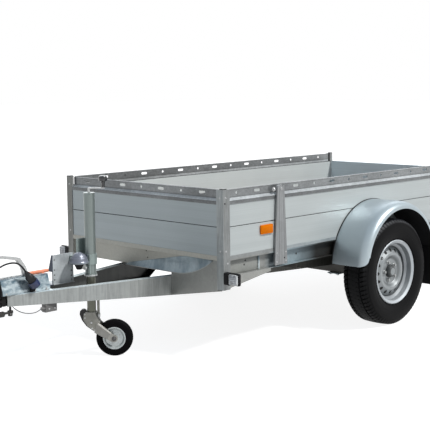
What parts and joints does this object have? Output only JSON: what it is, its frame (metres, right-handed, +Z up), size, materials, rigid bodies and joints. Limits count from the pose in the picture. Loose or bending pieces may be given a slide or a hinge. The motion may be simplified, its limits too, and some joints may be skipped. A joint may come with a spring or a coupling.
{
  "type": "utility trailer",
  "caption": "Single-axle braked box trailer with plank walls, slotted rails, a hinged tailgate, a ball coupling and a jockey wheel.",
  "frame": {"origin": "on the ground, under the middle of the overall length and width", "axes": "+X forward to the coupling, +Y to the trailer's left, +Z up"},
  "size_m": [3.884, 1.81, 0.983],
  "materials": {
    "aluminium": "brushed, with fine lines along the planks",
    "galvanised": "hot-dip galvanised, spangled",
    "bright_zinc": "bright zinc plate",
    "beige_steel": "matt",
    "plywood": "film-faced, brown",
    "silver_paint": "satin silver",
    "cast": "rough, dull",
    "tyre": "matt black",
    "rubber": "matt black",
    "black_plastic": "matt",
    "clear_lens": "clear over white",
    "amber_lens": "amber",
    "red_lens": "red",
    "orange_paint": "gloss orange",
    "white_plate": "blank"
  },
  "bodies": {
    "chassis": {"front_wall": "aluminium", "side_wall_left": "aluminium", "side_wall_right": "aluminium", "floor": "plywood", "rail_front": "galvanised", "rail_left": "galvanised", "rail_right": "galvanised", "corner_posts_front": "galvanised", "corner_posts_rear": "galvanised", "corner_caps": "black_plastic", "side_posts": "galvanised", "side_sills": "galvanised", "front_sill": "beige_steel", "rear_sill": "galvanised", "cross_members": "galvanised", "outrigger_left": "galvanised", "outrigger_right": "galvanised", "drawbar_left": "galvanised", "drawbar_right": "galvanised", "head_plate": "galvanised", "overrun_housing": "galvanised", "draw_tube": "bright_zinc", "gaiter": "rubber", "coupling_head": "bright_zinc", "coupling_handle": "bright_zinc", "handbrake_lever": "bright_zinc", "handbrake_strut": "orange_paint", "plug": "black_plastic", "rubber_fittings": "rubber", "lighting_cable": "rubber", "breakaway_wire": "black_plastic", "underside_fittings": "cast", "crank_knob": "black_plastic", "perforated_bracket": "galvanised", "jockey_clamp": "bright_zinc", "jockey_outer_tube": "bright_zinc", "jockey_crank": "bright_zinc", "axle_beam": "galvanised", "axle_arms": "galvanised", "mudguard_left": "galvanised", "mudguard_right": "galvanised", "mudflaps": "rubber", "front_markers": "rubber", "front_marker_lenses": "clear_lens", "side_reflectors": "amber_lens", "rear_lamps": "red_lens", "number_plate": "white_plate"},
    "left_wheel": {"tyre_left": "tyre", "rim_left": "silver_paint", "hub_left": "cast"},
    "right_wheel": {"tyre_right": "tyre", "rim_right": "silver_paint", "hub_right": "cast"},
    "tailgate_door": {"tailgate": "aluminium", "tailgate_latches": "bright_zinc"},
    "jockey_leg": {"jockey_inner_tube": "bright_zinc"},
    "jockey_caster": {"jockey_fork": "bright_zinc", "jockey_fork_band": "black_plastic"},
    "jockey_roller": {"jockey_tyre": "rubber", "jockey_rim": "silver_paint"}
  },
  "joints": [
    {"name": "left_wheel_spin", "type": "hinge", "parent": "chassis", "child": "left_wheel", "pos_m": [-0.642, 0.775, 0.322], "axis": [0, 1, 0], "continuous": true},
    {"name": "right_wheel_spin", "type": "hinge", "parent": "chassis", "child": "right_wheel", "pos_m": [-0.642, -0.775, 0.322], "axis": [0, 1, 0], "continuous": true},
    {"name": "tailgate_hinge", "type": "hinge", "parent": "chassis", "child": "tailgate_door", "pos_m": [-1.936, 0, 0.552], "axis": [0, -1, 0], "range_deg": [0, 178]},
    {"name": "jockey_height", "type": "slide", "parent": "chassis", "child": "jockey_leg", "axis": [0, 0, 1], "range_m": [-0.1, 0.1]},
    {"name": "jockey_swivel", "type": "hinge", "parent": "jockey_leg", "child": "jockey_caster", "pos_m": [1.043, 0.043, 0.235], "axis": [0, 0, 1], "continuous": true},
    {"name": "jockey_roll", "type": "hinge", "parent": "jockey_caster", "child": "jockey_roller", "pos_m": [0.9584, 0.13091, 0.1], "axis": [-0.7206, -0.6934, 0], "continuous": true}
  ]
}
